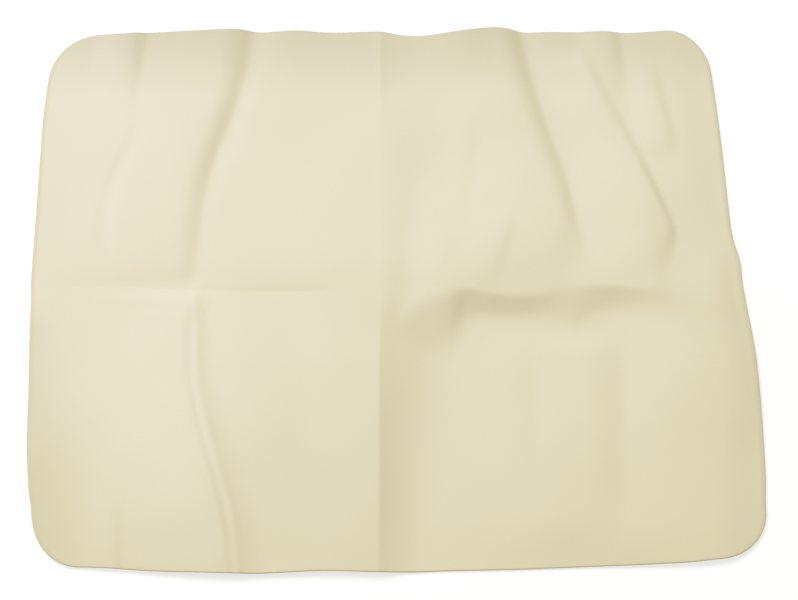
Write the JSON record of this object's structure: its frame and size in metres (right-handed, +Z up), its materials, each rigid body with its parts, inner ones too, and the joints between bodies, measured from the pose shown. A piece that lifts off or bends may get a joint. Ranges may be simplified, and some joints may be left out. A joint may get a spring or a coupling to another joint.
{
  "type": "synthetic chamois cloth",
  "caption": "Soft cream synthetic chamois drying cloth, laid flat with rounded corners, ripples and crossing fold creases; folds in half along its middle crease.",
  "frame": {"origin": "middle of the cloth's box, on the surface that it lies on", "axes": "+X along the long side, +Y along the short side away from the near edge, +Z up; the fold crease runs along Y at x = -7.9 mm"},
  "size_m": [0.552, 0.4434, 0.0086],
  "materials": {
    "chamois": "matt cream, fine suede-like nap on both faces, bare cut edge"
  },
  "bodies": {
    "left_half": {"upper_left_quarter": "chamois", "lower_left_quarter": "chamois"},
    "right_half": {"upper_right_quarter": "chamois", "lower_right_quarter": "chamois"}
  },
  "joints": [
    {"name": "fold_in_half", "type": "hinge", "parent": "left_half", "child": "right_half", "pos_m": [-0.00791, 0, 0.00883], "axis": [0, -1, 0], "range_deg": [0, 180]}
  ]
}
